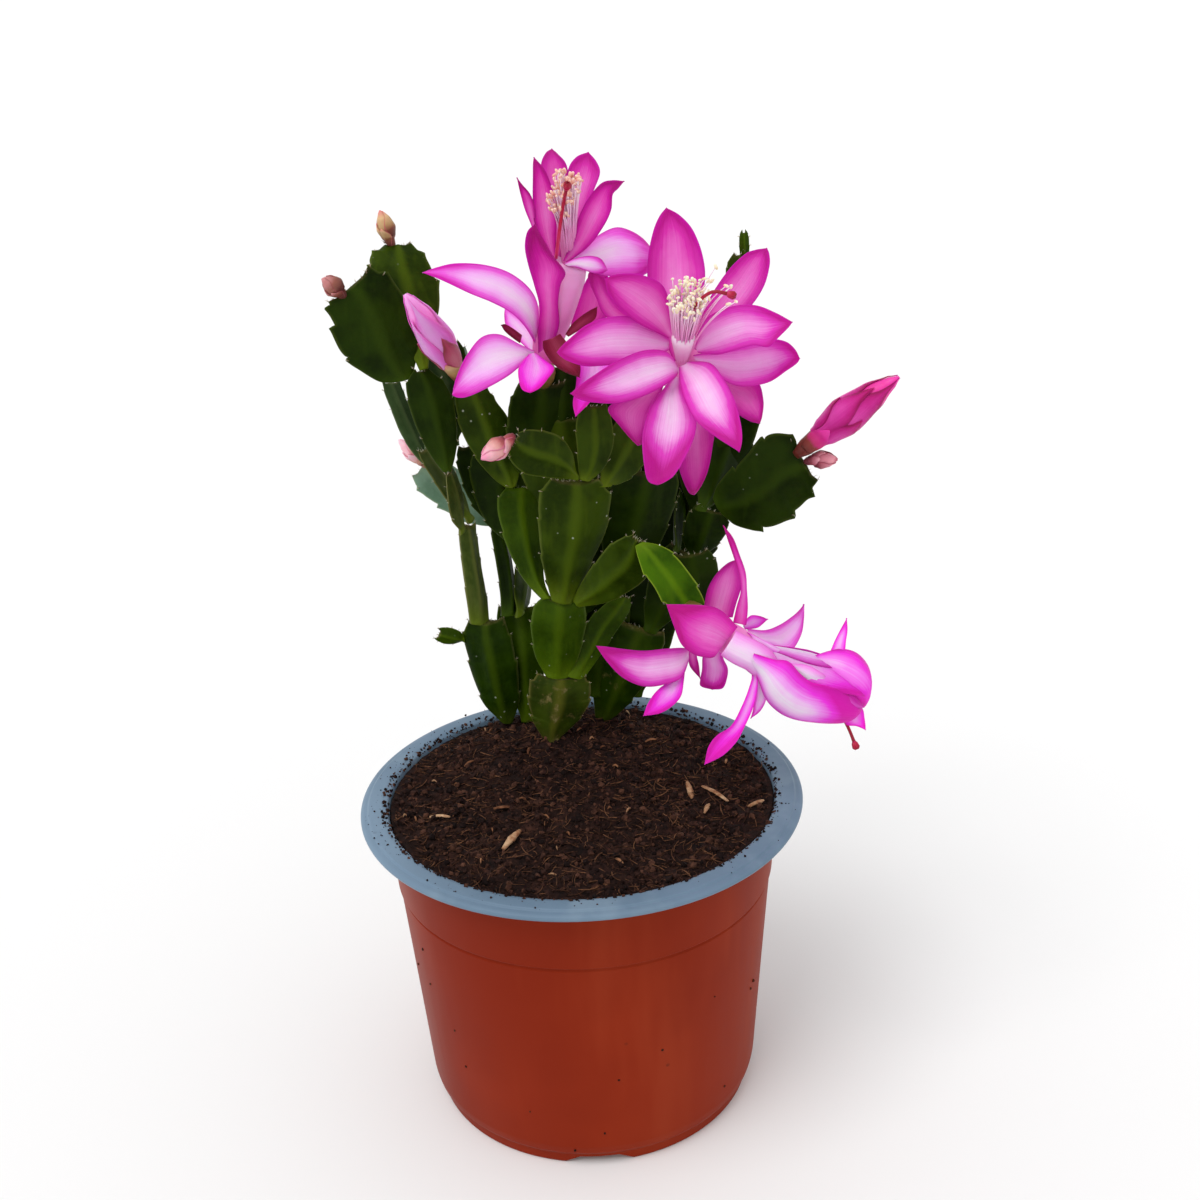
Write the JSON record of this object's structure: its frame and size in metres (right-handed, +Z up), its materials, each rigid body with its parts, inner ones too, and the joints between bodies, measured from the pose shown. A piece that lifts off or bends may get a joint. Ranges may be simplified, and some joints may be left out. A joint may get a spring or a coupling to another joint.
{
  "type": "potted christmas cactus",
  "caption": "Christmas cactus in a round two-tone plastic pot: flat jointed green stem segments on dark soil, with open pink flowers and buds.",
  "frame": {"origin": "centre of the pot's base, in the plane it stands on", "axes": "+Z up along the pot's axis, -Y towards the front of the plant, the side with the open flowers"},
  "size_m": [0.1456, 0.12, 0.2553],
  "materials": {
    "terracotta_plastic": "satin thin-walled plastic, terracotta outside and blue-grey inside and on the rim",
    "peat": "loose moist peat with bark chips",
    "stem": "smooth waxy dark green skin",
    "bud": "smooth, pink over an olive base",
    "ovary": "smooth olive brown",
    "petal": "thin soft petals, magenta at the edge and near white inside",
    "stamen": "pale threads with cream heads",
    "style": "smooth crimson thread"
  },
  "bodies": {
    "root": {"bud_1": "bud", "bud_2": "bud", "bud_3": "bud", "bud_4": "bud", "bud_5": "bud", "bud_6": "bud", "bud_7": "bud", "centre_1": "stem", "centre_10": "stem", "centre_11": "stem", "centre_2": "stem", "centre_3": "stem", "centre_4": "stem", "centre_5": "stem", "centre_6": "stem", "centre_7": "stem", "centre_8": "stem", "centre_9": "stem", "flower_1_inner": "petal", "flower_1_outer": "petal", "flower_1_ovary": "ovary", "flower_1_stamens": "stamen", "flower_1_style": "style", "flower_2_inner": "petal", "flower_2_outer": "petal", "flower_2_ovary": "ovary", "flower_2_stamens": "stamen", "flower_2_style": "style", "flower_3_inner": "petal", "flower_3_outer": "petal", "flower_3_ovary": "ovary", "flower_3_stamens": "stamen", "flower_3_style": "style", "left_1": "stem", "left_10": "stem", "left_11": "stem", "left_12": "stem", "left_13": "stem", "left_2": "stem", "left_3": "stem", "left_4": "stem", "left_5": "stem", "left_6": "stem", "left_7": "stem", "left_8": "stem", "left_9": "stem", "left_pad": "stem", "pot": "terracotta_plastic", "right_1": "stem", "right_10": "stem", "right_11": "stem", "right_2": "stem", "right_3": "stem", "right_4": "stem", "right_5": "stem", "right_6": "stem", "right_7": "stem", "right_8": "stem", "right_9": "stem", "soil": "peat"}
  },
  "joints": []
}
